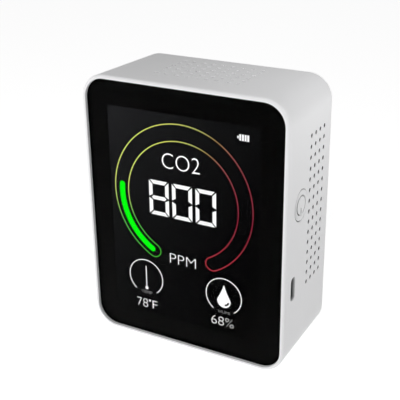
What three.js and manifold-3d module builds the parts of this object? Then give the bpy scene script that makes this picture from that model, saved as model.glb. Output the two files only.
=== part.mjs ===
// Air quality monitor: a white ABS case with a lit display behind a clear window, vents in
// both sides and the top, a power key and a charging socket in the right side, and the
// boards, gas sensor and battery that it holds.
// Millimetres, +Z up. The display faces -Y, and +X is the side with the power key.
// The origin is the middle of the base. A "depth" is a distance behind the front rim.

import * as THREE from "three";
import { mergeVertices } from "three/addons/utils/BufferGeometryUtils.js";
import Module from "manifold-3d";

const wasm = await Module();
wasm.setup();

// Case
const WIDTH = 72;
const HEIGHT = 91.5;
const DEPTH = 35.5;
const CORNER_R = 8.3;
const EDGE_R = 1;
const WALL = 2;
const SIDE_DRAFT = 0.6; // each side leans in by this much at the back
const TOP_DRAFT = 0.9; // the top falls by this much at the back
const MID_Z = HEIGHT / 2;
const GAP = 0.3; // clearance round a piece that sits in an opening
const SEAT = 0.1; // clearance between faces that rest on each other

// Front window and the ledge that it is stuck to
const WINDOW_INSET = 1.3; // from the outside of the case to the pocket's side
const WINDOW_R = CORNER_R - WINDOW_INSET;
const WINDOW_TRIM = 0.15;
const WINDOW_RECESS = 1;
const WINDOW_THICKNESS = 1;
const TAPE_THICKNESS = 0.3;
const LEDGE_FRONT = WINDOW_RECESS + WINDOW_THICKNESS + TAPE_THICKNESS + 2 * SEAT;
const LEDGE_THICKNESS = 1.5;
const LEDGE_BACK = LEDGE_FRONT + LEDGE_THICKNESS;

// Display module
const DISPLAY_WIDTH = 63.9;
const DISPLAY_HEIGHT = 76.9;
const DISPLAY_FRONT = WINDOW_RECESS + WINDOW_THICKNESS + 0.2;
const DISPLAY_BACK = 5;
const CELL_THICKNESS = 1.2;
const TRAY_WALL = 0.65;
const TRAY_FLOOR = 0.4;
const FLEX_WIDTH = 20;
const FLEX_THICKNESS = 0.24;

// Main board, behind the display
const BOARD_FRONT = 8.1;
const BOARD_THICKNESS = 1.6;
const BOARD_BACK = BOARD_FRONT + BOARD_THICKNESS;
const PARTS_FRONT = BOARD_BACK + SEAT; // where the pieces soldered to its back start
const BOARD_HALF_WIDTH = 31;
const BOARD_CLEAR_Z = 2.6; // from the board's lower edge to the underside of the case
const BOARD_TOP_Z = 88.6;
const BOARD_POSTS = [
  [-18, 4.5],
  [18, 4.5],
  [-18, 86.9],
  [18, 86.9],
];
const POST_R = 2.3;

// Rear cover and its screws
const COVER_THICKNESS = 2.4;
const COVER_FRONT = DEPTH - COVER_THICKNESS;
const BOSS_R = 3.4;
const BOSS_START = 6;
const BOSS_X = 29.2;
const BOSS_LOW_Z = 6.8;
const BOSS_HIGH_Z = 83.6;
const COVER_BOSSES = [
  [-BOSS_X, BOSS_LOW_Z],
  [BOSS_X, BOSS_LOW_Z],
  [-BOSS_X, BOSS_HIGH_Z],
  [BOSS_X, BOSS_HIGH_Z],
];

const COVER_PILOT = { radius: 1.35, start: 22 };
const COVER_HOLE_R = 1.4;
const COUNTERBORE = { radius: 2.8, depth: 1.3 };
const COVER_SCREW = {
  headDepth: DEPTH - 1.2,
  headR: 2.4,
  headHeight: 1,
  shankR: 1.1,
  length: 10,
};
const BATTERY_BAY = { gap: 0.6, wall: 1.2, corner: 1.8, height: 3 };

// Board screws
const BOARD_PILOT = { radius: 0.95, start: 4.3 };
const BOARD_HOLE_R = 1.15;
const BOARD_SCREW = {
  headDepth: PARTS_FRONT,
  headR: 1.8,
  headHeight: 1.1,
  shankR: 0.75,
  length: 4.6,
};

// Vents: a square grid of round holes
const VENT_PITCH = 3.58;
const VENT_R = 0.7;
const VENT_SIDES = 6;
const SIDE_VENTS = { columns: 4, rows: 15, depth: 23.5, z: MID_Z + 5.1 };
const TOP_VENTS = { columns: 9, rows: 6, depth: 19.9 };

// Power key, its switch, and the charging socket
const KEY_DEPTH = 11.2;
const KEY_Z = 55.6;
const KEY_R = 5;
const KEY_CLEARANCE = 0.2;
const KEY_FLANGE = { radius: 5.9, front: 33.4, back: 32.3 };
const KEY_STEM_R = 1.5;
const SOCKET_DEPTH = 6.65;
const SOCKET_Z = 28.7;
const SOCKET_OPENING = { across: 3.4, along: 8, corner: 1.2 };

// Parts on the main board
const MCU = { x: -12, z: 34, width: 10, height: 10, thickness: 1.4, leads: 6, sides: 4 };
const MEMORY = { x: 3, z: 34, width: 5.2, height: 5, thickness: 1.6, leads: 4, sides: 2 };
const CHARGER = { x: 22.5, z: 30, width: 4, height: 5, thickness: 1.5, leads: 4, sides: 2 };
const REGULATOR = {
  x: 12.5,
  z: 26,
  width: 3.6,
  height: 6.4,
  thickness: 1.6,
  leads: 3,
  sides: 2,
};
const INDUCTOR = { x: 22.5, z: 40, base: 6.4, coilR: 2.9, capR: 3.15, height: 3 };
const HUMIDITY = { x: -27.5, z: 66, base: [5, 6], can: 3.4, hole: 0.9, height: 1.4 };

// Gas sensor and battery
const GAS = { x: -8, z: 68, width: 33, height: 20 };
const GAS_BOARD_FRONT = 12.4;
const GAS_CHAMBER_FRONT = 13.5;
const GAS_CHAMBER_BACK = 20;
const BATTERY = { x: 0, z: 34, width: 34, height: 50, thickness: 5.8 };
const BATTERY_PAD = 0.7;
const BATTERY_BACK = COVER_FRONT - BATTERY_PAD - 2 * SEAT;

// Shape helpers

const yAt = (depth) => depth - DEPTH / 2;

function roundedRect(width, height, radius, x = 0, z = MID_Z) {
  const shape = new THREE.Shape();
  const right = x + width / 2 - radius;
  const left = x - width / 2 + radius;
  const top = z + height / 2 - radius;
  const bottom = z - height / 2 + radius;
  shape.absarc(right, bottom, radius, -Math.PI / 2, 0);
  shape.absarc(right, top, radius, 0, Math.PI / 2);
  shape.absarc(left, top, radius, Math.PI / 2, Math.PI);
  shape.absarc(left, bottom, radius, Math.PI, 1.5 * Math.PI);
  shape.closePath();
  return shape;
}

// An outline seen from the front, drawn in x and z, from one depth to another.
function slab(shape, from, to, options = {}) {
  const { edge = 0, edgeSteps = 1, arcSteps = 3 } = options;
  const geometry = new THREE.ExtrudeGeometry(shape, {
    depth: to - from - 2 * edge,
    curveSegments: arcSteps,
    bevelEnabled: edge > 0,
    bevelThickness: edge,
    bevelSize: edge,
    bevelOffset: -edge,
    bevelSegments: edgeSteps,
  });
  geometry.rotateX(Math.PI / 2);
  geometry.translate(0, yAt(to - edge), 0);
  return geometry;
}

// An outline seen from the right, drawn in y and z, from one x to another.
function sideSlab(shape, from, to, arcSteps = 4) {
  const geometry = new THREE.ExtrudeGeometry(shape, {
    depth: to - from,
    curveSegments: arcSteps,
    bevelEnabled: false,
  });
  const axes = [
    new THREE.Vector3(0, 1, 0),
    new THREE.Vector3(0, 0, 1),
    new THREE.Vector3(1, 0, 0),
  ];
  geometry.applyMatrix4(new THREE.Matrix4().makeBasis(...axes));
  geometry.translate(from, 0, 0);
  return geometry;
}

// The mould's draft: everything narrows and lowers evenly towards the back.
function drafted(geometry) {
  const points = geometry.attributes.position;
  for (let i = 0; i < points.count; i += 1) {
    const back = (points.getY(i) + DEPTH / 2) / DEPTH;
    points.setX(i, points.getX(i) * (1 - (back * SIDE_DRAFT) / (WIDTH / 2)));
    points.setZ(i, points.getZ(i) * (1 - (back * TOP_DRAFT) / HEIGHT));
  }
  return geometry;
}

function block(width, depthFrom, depthTo, height, x, z) {
  const geometry = new THREE.BoxGeometry(width, depthTo - depthFrom, height);
  geometry.translate(x, yAt((depthFrom + depthTo) / 2), z);
  return geometry;
}

function rodY(radius, depthFrom, depthTo, x, z, sides = 12) {
  const geometry = new THREE.CylinderGeometry(radius, radius, depthTo - depthFrom, sides);
  geometry.translate(x, yAt((depthFrom + depthTo) / 2), z);
  return geometry;
}

function rodX(radius, from, to, depth, z, sides = 12) {
  const geometry = new THREE.CylinderGeometry(radius, radius, to - from, sides);
  geometry.rotateZ(-Math.PI / 2);
  geometry.translate((from + to) / 2, yAt(depth), z);
  return geometry;
}

function rodZ(radius, from, to, x, depth, sides = 12) {
  const geometry = new THREE.CylinderGeometry(radius, radius, to - from, sides);
  geometry.rotateX(Math.PI / 2);
  geometry.translate(x, yAt(depth), (from + to) / 2);
  return geometry;
}

function solid(geometry) {
  const bare = geometry.clone();
  bare.deleteAttribute("normal");
  bare.deleteAttribute("uv");
  const merged = mergeVertices(bare, 1e-4);
  return new wasm.Manifold(
    new wasm.Mesh({
      numProp: 3,
      vertProperties: new Float32Array(merged.attributes.position.array),
      triVerts: new Uint32Array(merged.index.array),
    })
  );
}

const joined = (geometries) => geometries.map(solid).reduce((sum, next) => sum.add(next));

const cut = (body, geometries) =>
  geometries.map(solid).reduce((rest, next) => rest.subtract(next), body);

function surface(body) {
  const { vertProperties, triVerts } = body.getMesh();
  const geometry = new THREE.BufferGeometry();
  geometry.setAttribute("position", new THREE.BufferAttribute(vertProperties, 3));
  geometry.setIndex(new THREE.BufferAttribute(triVerts, 1));
  geometry.computeVertexNormals();
  return geometry;
}

// Finishes

const finish = (color, roughness, metalness = 0) =>
  new THREE.MeshStandardMaterial({ color, roughness, metalness });

const whiteAbs = () => finish(0xe9e9e8, 0.5);
const steel = () => finish(0xb9bbbd, 0.35, 1);
const chipPlastic = () => finish(0x1d1d1f, 0.6);

const group = new THREE.Group();

function place(name, shape, material) {
  const geometry = shape.isBufferGeometry ? shape : surface(shape);
  const mesh = new THREE.Mesh(geometry, material);
  mesh.name = name;
  group.add(mesh);
}

// Case

function ventHoles() {
  const holes = [];
  const reach = 3 * WALL;
  for (let row = 0; row < SIDE_VENTS.rows; row += 1) {
    for (let column = 0; column < SIDE_VENTS.columns; column += 1) {
      const depth = SIDE_VENTS.depth + (column - (SIDE_VENTS.columns - 1) / 2) * VENT_PITCH;
      const z = SIDE_VENTS.z + (row - (SIDE_VENTS.rows - 1) / 2) * VENT_PITCH;
      const inner = WIDTH / 2 - reach;
      holes.push(rodX(VENT_R, inner, inner + 2 * reach, depth, z, VENT_SIDES));
      holes.push(rodX(VENT_R, -inner - 2 * reach, -inner, depth, z, VENT_SIDES));
    }
  }
  for (let row = 0; row < TOP_VENTS.rows; row += 1) {
    for (let column = 0; column < TOP_VENTS.columns; column += 1) {
      const x = (column - (TOP_VENTS.columns - 1) / 2) * VENT_PITCH;
      const depth = TOP_VENTS.depth + (row - (TOP_VENTS.rows - 1) / 2) * VENT_PITCH;
      holes.push(rodZ(VENT_R, HEIGHT - reach, HEIGHT + reach, x, depth, VENT_SIDES));
    }
  }
  return holes;
}

function socketOpening() {
  const { across, along, corner } = SOCKET_OPENING;
  const shape = roundedRect(across, along, corner, yAt(SOCKET_DEPTH), SOCKET_Z);
  return sideSlab(shape, WIDTH / 2 - 2 * WALL, WIDTH / 2 + WALL, 3);
}

function frontShell() {
  const outside = roundedRect(WIDTH, HEIGHT, CORNER_R);
  const inside = roundedRect(WIDTH - 2 * WALL, HEIGHT - 2 * WALL, CORNER_R - WALL);
  const pocket = roundedRect(WIDTH - 2 * WINDOW_INSET, HEIGHT - 2 * WINDOW_INSET, WINDOW_R);
  const opening = roundedRect(DISPLAY_WIDTH + 2 * GAP, DISPLAY_HEIGHT + 2 * GAP, 1);
  const rounding = { edge: EDGE_R, edgeSteps: 2, arcSteps: 4 };
  const hollow = cut(solid(drafted(slab(outside, 0, DEPTH, rounding))), [
    slab(pocket, -WALL, LEDGE_FRONT),
    slab(opening, 0, LEDGE_BACK + WALL, { arcSteps: 2 }),
    drafted(slab(inside, LEDGE_BACK, DEPTH + WALL)),
  ]);
  const bosses = COVER_BOSSES.flatMap(([x, z]) => [
    rodY(BOSS_R, BOSS_START, COVER_FRONT - SEAT, x, z, 16),
    block(BOSS_R, BOSS_START, COVER_FRONT - SEAT, WALL, x + Math.sign(x) * BOSS_R, z),
  ]);
  const posts = BOARD_POSTS.map(([x, z]) =>
    rodY(POST_R, LEDGE_BACK - WALL / 2, BOARD_FRONT - SEAT, x, z)
  );
  return cut(hollow.add(joined([...bosses, ...posts])), [
    ...COVER_BOSSES.map(([x, z]) =>
      rodY(COVER_PILOT.radius, COVER_PILOT.start, DEPTH, x, z, 8)
    ),
    ...BOARD_POSTS.map(([x, z]) =>
      rodY(BOARD_PILOT.radius, BOARD_PILOT.start, BOARD_FRONT, x, z, 8)
    ),
    rodX(KEY_R + KEY_CLEARANCE, WIDTH / 2 - 2 * WALL, WIDTH / 2 + WALL, KEY_DEPTH, KEY_Z, 32),
    socketOpening(),
    ...ventHoles(),
  ]);
}

function rearCover() {
  const trim = 2 * (WALL + GAP);
  const outline = roundedRect(WIDTH - trim, HEIGHT - trim, CORNER_R - WALL - GAP);
  const plate = solid(drafted(slab(outline, COVER_FRONT, DEPTH)));
  const { gap, wall, corner, height } = BATTERY_BAY;
  const ring = (grow, radius) =>
    roundedRect(BATTERY.width + grow, BATTERY.height + grow, radius, BATTERY.x, BATTERY.z);
  const bay = ring(2 * (gap + wall), corner + wall);
  bay.holes.push(ring(2 * gap, corner));
  const overlap = 0.5;
  const rib = solid(slab(bay, COVER_FRONT - height, COVER_FRONT + overlap, { arcSteps: 1 }));
  return cut(plate.add(rib), [
    ...COVER_BOSSES.map(([x, z]) =>
      rodY(COUNTERBORE.radius, DEPTH - COUNTERBORE.depth, DEPTH + 1, x, z, 16)
    ),
    ...COVER_BOSSES.map(([x, z]) => rodY(COVER_HOLE_R, COVER_FRONT - 1, DEPTH, x, z, 8)),
  ]);
}

// A cross-recess screw pushed in from the back, with the underside of its head at a depth.
function screw(x, z, { headDepth, headR, headHeight, shankR, length }) {
  const profile = [
    new THREE.Vector2(0, -length),
    new THREE.Vector2(shankR * 0.5, -length),
    new THREE.Vector2(shankR, -length + shankR),
    new THREE.Vector2(shankR, 0),
    new THREE.Vector2(headR, 0),
    new THREE.Vector2(headR, headHeight * 0.5),
    new THREE.Vector2(headR * 0.8, headHeight),
    new THREE.Vector2(0, headHeight),
  ];
  const body = new THREE.LatheGeometry(profile, 10);
  body.translate(x, yAt(headDepth), z);
  const floor = headDepth + headHeight * 0.4;
  const rim = headDepth + headHeight * 1.5;
  const arm = headR * 1.1;
  const slot = headR * 0.24;
  return cut(solid(body), [
    block(arm, floor, rim, slot, x, z),
    block(slot, floor, rim, arm, x, z),
  ]);
}

// Front window and display

function frontLens() {
  const inset = WINDOW_INSET + WINDOW_TRIM;
  const outline = roundedRect(WIDTH - 2 * inset, HEIGHT - 2 * inset, WINDOW_R - WINDOW_TRIM);
  const back = WINDOW_RECESS + WINDOW_THICKNESS;
  return slab(outline, WINDOW_RECESS, back, { edge: 0.15 });
}

function lensTape() {
  const back = LEDGE_FRONT - SEAT;
  const inset = WINDOW_INSET + 0.4;
  const outline = roundedRect(WIDTH - 2 * inset, HEIGHT - 2 * inset, WINDOW_R - 0.4);
  outline.holes.push(roundedRect(DISPLAY_WIDTH + 1, DISPLAY_HEIGHT + 1, 1));
  return slab(outline, back - TAPE_THICKNESS, back, { arcSteps: 2 });
}

function lcdCell() {
  const width = DISPLAY_WIDTH - 2 * (TRAY_WALL + GAP);
  const height = DISPLAY_HEIGHT - 2 * (TRAY_WALL + GAP);
  const polariser = 0.15;
  return joined([
    block(width - 2, DISPLAY_FRONT, DISPLAY_FRONT + 2 * polariser, height - 1.4, 0, MID_Z),
    block(
      width,
      DISPLAY_FRONT + polariser,
      DISPLAY_FRONT + CELL_THICKNESS,
      height,
      0,
      MID_Z
    ),
  ]);
}

function lcdBacklight() {
  const front = DISPLAY_FRONT + CELL_THICKNESS + SEAT;
  const back = DISPLAY_BACK - TRAY_FLOOR - SEAT;
  return slab(roundedRect(60, 71.5, 0.8, 0, MID_Z + 0.5), front, back, { arcSteps: 2 });
}

function lcdFrame() {
  const outline = roundedRect(DISPLAY_WIDTH, DISPLAY_HEIGHT, 0.8);
  const width = DISPLAY_WIDTH - 2 * TRAY_WALL;
  const height = DISPLAY_HEIGHT - 2 * TRAY_WALL;
  const flexSlotZ = 9;
  return cut(solid(slab(outline, DISPLAY_FRONT + 0.2, DISPLAY_BACK, { arcSteps: 2 })), [
    block(width, 0, DISPLAY_BACK - TRAY_FLOOR, height, 0, MID_Z),
    block(FLEX_WIDTH + 3, 0, DISPLAY_BACK + 1, 1.8, 0, flexSlotZ),
  ]);
}

function lcdFlex() {
  const shape = new THREE.Shape();
  const front = yAt(DISPLAY_FRONT + CELL_THICKNESS + 0.13);
  const back = yAt(5.72);
  const outer = 0.62;
  const inner = outer - FLEX_THICKNESS;
  const bendZ = 9.25;
  shape.moveTo(front, bendZ + 0.95);
  shape.absarc(front + outer, bendZ, outer, Math.PI, 1.5 * Math.PI);
  shape.absarc(back - outer, bendZ, outer, 1.5 * Math.PI, 2 * Math.PI);
  shape.lineTo(back, 13);
  shape.lineTo(back - FLEX_THICKNESS, 13);
  shape.absarc(back - outer, bendZ, inner, 2 * Math.PI, 1.5 * Math.PI, true);
  shape.absarc(front + outer, bendZ, inner, 1.5 * Math.PI, Math.PI, true);
  shape.lineTo(front + FLEX_THICKNESS, bendZ + 0.95);
  shape.closePath();
  return sideSlab(shape, -FLEX_WIDTH / 2, FLEX_WIDTH / 2);
}

function flexConnector() {
  const width = FLEX_WIDTH + 3;
  return joined([
    block(width, 6.2, BOARD_FRONT - SEAT, 4, 0, 15.4),
    block(width + 1.2, DISPLAY_BACK + GAP, 6.5, 1.4, 0, 16.5),
  ]);
}

// Main board and what is soldered to it

function mainBoard() {
  const outline = new THREE.Shape();
  const notchX = BOSS_X - BOSS_R - 2 * GAP;
  const lowNotch = BOSS_LOW_Z + BOSS_R + 2 * GAP;
  const highNotch = BOSS_HIGH_Z - BOSS_R - 2 * GAP;
  outline.moveTo(-notchX, BOARD_CLEAR_Z);
  outline.lineTo(notchX, BOARD_CLEAR_Z);
  outline.lineTo(notchX, lowNotch);
  outline.lineTo(BOARD_HALF_WIDTH, lowNotch);
  outline.lineTo(BOARD_HALF_WIDTH, highNotch);
  outline.lineTo(notchX, highNotch);
  outline.lineTo(notchX, BOARD_TOP_Z);
  outline.lineTo(-notchX, BOARD_TOP_Z);
  outline.lineTo(-notchX, highNotch);
  outline.lineTo(-BOARD_HALF_WIDTH, highNotch);
  outline.lineTo(-BOARD_HALF_WIDTH, lowNotch);
  outline.lineTo(-notchX, lowNotch);
  outline.closePath();
  return cut(
    solid(slab(outline, BOARD_FRONT, BOARD_BACK)),
    BOARD_POSTS.map(([x, z]) => rodY(BOARD_HOLE_R, BOARD_FRONT - 1, BOARD_BACK + 1, x, z))
  );
}

// A flat package with a row of bent leads along two sides, or all four.
function chip({ x, z, width, height, thickness, leads, sides }) {
  const lead = 0.4;
  const reach = 0.7;
  const foot = PARTS_FRONT + 0.25;
  const parts = [block(width, PARTS_FRONT + 0.1, PARTS_FRONT + thickness, height, x, z)];
  for (let i = 0; i < leads; i += 1) {
    const along = ((i + 0.5) / leads - 0.5) * 0.9;
    parts.push(block(width + 2 * reach, PARTS_FRONT, foot, lead, x, z + along * height));
    if (sides === 4) {
      parts.push(block(lead, PARTS_FRONT, foot, height + 2 * reach, x + along * width, z));
    }
  }
  return joined(parts);
}

function powerInductor() {
  const { x, z, base, coilR, capR, height } = INDUCTOR;
  const top = PARTS_FRONT + height;
  const baseThickness = 0.8;
  const capThickness = 0.7;
  return joined([
    block(base, PARTS_FRONT, PARTS_FRONT + baseThickness, base, x, z),
    rodY(coilR, PARTS_FRONT + baseThickness / 2, top - capThickness / 2, x, z, 16),
    rodY(capR, top - capThickness, top, x, z, 16),
  ]);
}

function humiditySensor() {
  const { x, z, base, can, hole, height } = HUMIDITY;
  const back = PARTS_FRONT + height;
  const baseThickness = 0.8;
  return cut(
    joined([
      block(base[0], PARTS_FRONT, PARTS_FRONT + baseThickness, base[1], x, z),
      block(can, PARTS_FRONT + baseThickness / 2, back, can, x, z),
    ]),
    [rodY(hole, back - 0.5, back + 1, x, z)]
  );
}

// The charging socket is laid on the board's front face and reaches over its right edge.
const SOCKET_BACK_X = 27.8;
const SOCKET_MOUTH_X = 33.4;

function socketOutline(inset) {
  const shape = new THREE.Shape();
  const back = yAt(BOARD_FRONT - SEAT) - inset;
  const front = yAt(DISPLAY_BACK + 0.35) + inset;
  const half = 3.85 - inset;
  const slope = 1;
  shape.moveTo(front, SOCKET_Z - half);
  shape.lineTo(back - slope, SOCKET_Z - half);
  shape.lineTo(back, SOCKET_Z - half + slope);
  shape.lineTo(back, SOCKET_Z + half - slope);
  shape.lineTo(back - slope, SOCKET_Z + half);
  shape.lineTo(front, SOCKET_Z + half);
  shape.closePath();
  return shape;
}

function usbSocketShell() {
  const sheet = 0.3;
  return cut(solid(sideSlab(socketOutline(0), SOCKET_BACK_X, SOCKET_MOUTH_X)), [
    sideSlab(socketOutline(sheet), SOCKET_BACK_X + 0.6, SOCKET_MOUTH_X + 1),
  ]);
}

function usbSocketTongue() {
  const base = SOCKET_BACK_X + 0.7;
  return joined([
    block(0.8, DISPLAY_BACK + 0.75, BOARD_FRONT - 0.5, 5, base + 0.4, SOCKET_Z),
    block(4.1, SOCKET_DEPTH - 0.35, SOCKET_DEPTH + 0.3, 3.6, base + 2.05, SOCKET_Z),
  ]);
}

// Power key and switch, both along X

const SWITCH_MOUTH_X = 30.6;
const PLUNGER_TIP_X = 31.6;
const PLUNGER_R = 0.8;

function switchBody() {
  const width = 4.2;
  const x = SWITCH_MOUTH_X - width / 2;
  const half = KEY_DEPTH - PARTS_FRONT;
  return cut(
    joined([
      block(width, KEY_DEPTH - half, KEY_DEPTH + half, 6, x, KEY_Z),
      block(width - 1.4, PARTS_FRONT, PARTS_FRONT + 0.4, 7.6, x, KEY_Z),
    ]),
    [rodX(PLUNGER_R + 0.2, SWITCH_MOUTH_X - 1, SWITCH_MOUTH_X + 1, KEY_DEPTH, KEY_Z)]
  );
}

const switchPlunger = () =>
  rodX(PLUNGER_R, SWITCH_MOUTH_X - 0.6, PLUNGER_TIP_X, KEY_DEPTH, KEY_Z);

function powerButton() {
  const { radius, front, back } = KEY_FLANGE;
  const stemTip = PLUNGER_TIP_X + GAP;
  const overlap = 0.5;
  const outside = slab(roundedRect(WIDTH, HEIGHT, CORNER_R), 0, DEPTH);
  return joined([
    rodX(KEY_R, front - overlap, WIDTH / 2 + WALL, KEY_DEPTH, KEY_Z, 32),
    rodX(radius, back, front, KEY_DEPTH, KEY_Z, 24),
    rodX(KEY_STEM_R, stemTip, back + overlap, KEY_DEPTH, KEY_Z),
  ]).intersect(solid(drafted(outside)));
}

// Gas sensor module, on two headers behind the main board

const gasBoard = () =>
  slab(
    roundedRect(GAS.width, GAS.height, 1, GAS.x, GAS.z),
    GAS_BOARD_FRONT,
    GAS_BOARD_FRONT + 1,
    { arcSteps: 3 }
  );

const GAS_WINDOW_OFFSETS = [-5.5, 5.5];

function gasChamber() {
  const body = slab(
    roundedRect(26, 17, 2.5, GAS.x, GAS.z),
    GAS_CHAMBER_FRONT,
    GAS_CHAMBER_BACK,
    { edge: 0.8, arcSteps: 2 }
  );
  return cut(
    solid(body),
    GAS_WINDOW_OFFSETS.map((offset) =>
      rodY(3, GAS_CHAMBER_BACK - 0.7, GAS_CHAMBER_BACK + 1, GAS.x + offset, GAS.z)
    )
  );
}

const gasMembrane = (offset) =>
  rodY(2.8, GAS_CHAMBER_BACK - 0.6, GAS_CHAMBER_BACK - 0.2, GAS.x + offset, GAS.z);

function gasHeader(side) {
  const x = GAS.x + side * (GAS.width / 2 - 1.4);
  const parts = [block(2.4, PARTS_FRONT, GAS_BOARD_FRONT - SEAT, 12.7, x, GAS.z)];
  for (let pin = -2; pin <= 2; pin += 1) {
    parts.push(block(3.2, PARTS_FRONT, PARTS_FRONT + 0.3, 0.6, x, GAS.z + pin * 2.54));
  }
  return joined(parts);
}

// Battery, stuck to the rear cover, and its lead to the main board

function batteryCell() {
  const { x, z, width, height, thickness } = BATTERY;
  const front = BATTERY_BACK - thickness;
  const middle = (front + BATTERY_BACK) / 2;
  return joined([
    slab(roundedRect(width, height, 2, x, z), front, BATTERY_BACK, {
      edge: 1.4,
      edgeSteps: 2,
      arcSteps: 2,
    }),
    block(width - 4, middle - 0.6, middle + 0.6, 4.5, x, z + height / 2 + 1.8),
  ]);
}

const batteryPad = () =>
  slab(
    roundedRect(26, 42, 2, BATTERY.x, BATTERY.z),
    BATTERY_BACK + SEAT,
    BATTERY_BACK + SEAT + BATTERY_PAD,
    { arcSteps: 3 }
  );

const PLUG = { x: 20, z: 56, front: 11.4, back: 18 };
const LEAD_PITCH = 2;
const LEAD_R = 0.6;

function batterySocket() {
  return cut(solid(block(7.6, PARTS_FRONT, 16, 5.4, PLUG.x, PLUG.z)), [
    block(6, PLUG.front - 0.4, 17, 3.8, PLUG.x, PLUG.z),
  ]);
}

const batteryPlug = () =>
  joined([
    block(5.5, PLUG.front, PLUG.back, 3.3, PLUG.x, PLUG.z),
    block(5.5, 16.6, PLUG.back, 4.3, PLUG.x, PLUG.z),
  ]);

// side is -1 or 1: the wire on the left of the plug, which arches inside, or on the right,
// which arches over it.
function batteryLead(side) {
  const tabDepth = BATTERY_BACK - BATTERY.thickness / 2;
  const tabZ = BATTERY.z + BATTERY.height / 2 + 4.05 + GAP;
  const plugX = PLUG.x + (side * LEAD_PITCH) / 2;
  const tabX = 6 - side * 1.6;
  const path = new THREE.CatmullRomCurve3([
    new THREE.Vector3(plugX, yAt(PLUG.back + GAP), PLUG.z),
    new THREE.Vector3(plugX, yAt(PLUG.back + 3), PLUG.z + 0.6),
    new THREE.Vector3(plugX - 0.6, yAt(PLUG.back + 6), PLUG.z + 5 + side),
    new THREE.Vector3((plugX + tabX) / 2, yAt(tabDepth - 1.5), tabZ + 6 + 1.4 * side),
    new THREE.Vector3(tabX, yAt(tabDepth), tabZ + 3),
    new THREE.Vector3(tabX, yAt(tabDepth), tabZ),
  ]);
  const section = new THREE.Shape();
  section.absarc(0, 0, LEAD_R, 0, 2 * Math.PI);
  return new THREE.ExtrudeGeometry(section, {
    steps: 18,
    curveSegments: 4,
    extrudePath: path,
  });
}

// Assembly

place("front_shell", frontShell(), whiteAbs());
place("rear_cover", rearCover(), whiteAbs());
place("front_lens", frontLens(), finish(0x0a0a0b, 0.12));
place("lens_tape", lensTape(), finish(0x1a1a1a, 0.9));
place("lcd_cell", lcdCell(), finish(0x101214, 0.2));
place("lcd_backlight", lcdBacklight(), finish(0xe6e9ea, 0.5));
place("lcd_frame", lcdFrame(), steel());
place("lcd_flex", lcdFlex(), finish(0xb5762a, 0.45));
place("flex_connector", flexConnector(), finish(0xd9cfb4, 0.55));

place("main_board", mainBoard(), finish(0x1c5a3a, 0.45));
place("mcu_chip", chip(MCU), chipPlastic());
place("memory_chip", chip(MEMORY), chipPlastic());
place("charger_chip", chip(CHARGER), chipPlastic());
place("regulator_chip", chip(REGULATOR), chipPlastic());
place("power_inductor", powerInductor(), finish(0x4a4c4e, 0.7));
place("humidity_sensor", humiditySensor(), finish(0xe4e2da, 0.5));
place("usb_socket_shell", usbSocketShell(), steel());
place("usb_socket_tongue", usbSocketTongue(), finish(0x202022, 0.5));

place("switch_body", switchBody(), steel());
place("switch_plunger", switchPlunger(), finish(0x2a2a2c, 0.5));
place("power_button", powerButton(), whiteAbs());

place("co2_board", gasBoard(), finish(0x1d3f6b, 0.45));
place("co2_chamber", gasChamber(), finish(0xc9a24a, 0.3, 1));
GAS_WINDOW_OFFSETS.forEach((offset, i) => {
  place(`co2_membrane_${i + 1}`, gasMembrane(offset), finish(0xf0efe9, 0.9));
});
place("co2_header_left", gasHeader(-1), chipPlastic());
place("co2_header_right", gasHeader(1), chipPlastic());

place("battery_cell", batteryCell(), finish(0xb8bcc0, 0.4, 0.6));
place("battery_pad", batteryPad(), finish(0x2b2b2b, 0.95));
place("battery_socket", batterySocket(), finish(0xe8e4d8, 0.5));
place("battery_plug", batteryPlug(), finish(0xe8e4d8, 0.5));
place("battery_lead_red", batteryLead(1), finish(0xb01c1c, 0.5));
place("battery_lead_black", batteryLead(-1), finish(0x161616, 0.5));

COVER_BOSSES.forEach(([x, z], i) => {
  place(`rear_screw_${i + 1}`, screw(x, z, COVER_SCREW), steel());
});
BOARD_POSTS.forEach(([x, z], i) => {
  place(`board_screw_${i + 1}`, screw(x, z, BOARD_SCREW), steel());
});

export default group;
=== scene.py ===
"""The looks of an air quality monitor: a white ABS case with round vents, a clear window with
a printed border over a lit display, a power key, a charging socket, a screwed rear cover, and
the boards, gas sensor and battery inside. Lengths are in millimetres until MM turns them to
metres. A "depth" is a distance behind the case's front rim, along +Y."""

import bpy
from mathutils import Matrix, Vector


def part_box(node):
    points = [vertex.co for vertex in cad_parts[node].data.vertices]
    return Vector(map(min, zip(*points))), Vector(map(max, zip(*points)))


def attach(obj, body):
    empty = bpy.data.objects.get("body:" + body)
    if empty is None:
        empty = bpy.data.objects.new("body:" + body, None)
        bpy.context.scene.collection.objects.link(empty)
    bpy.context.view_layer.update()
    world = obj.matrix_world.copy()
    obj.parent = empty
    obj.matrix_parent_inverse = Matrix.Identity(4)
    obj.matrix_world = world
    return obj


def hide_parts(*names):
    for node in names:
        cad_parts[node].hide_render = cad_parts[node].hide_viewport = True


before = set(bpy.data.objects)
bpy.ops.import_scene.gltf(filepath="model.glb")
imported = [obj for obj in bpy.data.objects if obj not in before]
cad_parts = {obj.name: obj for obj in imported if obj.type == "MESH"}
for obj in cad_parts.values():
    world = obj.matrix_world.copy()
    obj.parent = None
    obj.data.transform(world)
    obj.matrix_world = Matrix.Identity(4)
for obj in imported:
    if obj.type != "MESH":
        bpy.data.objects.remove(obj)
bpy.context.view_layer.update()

import math

import bmesh
import bpy
from mathutils import Matrix, Vector

MM = 0.001

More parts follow.
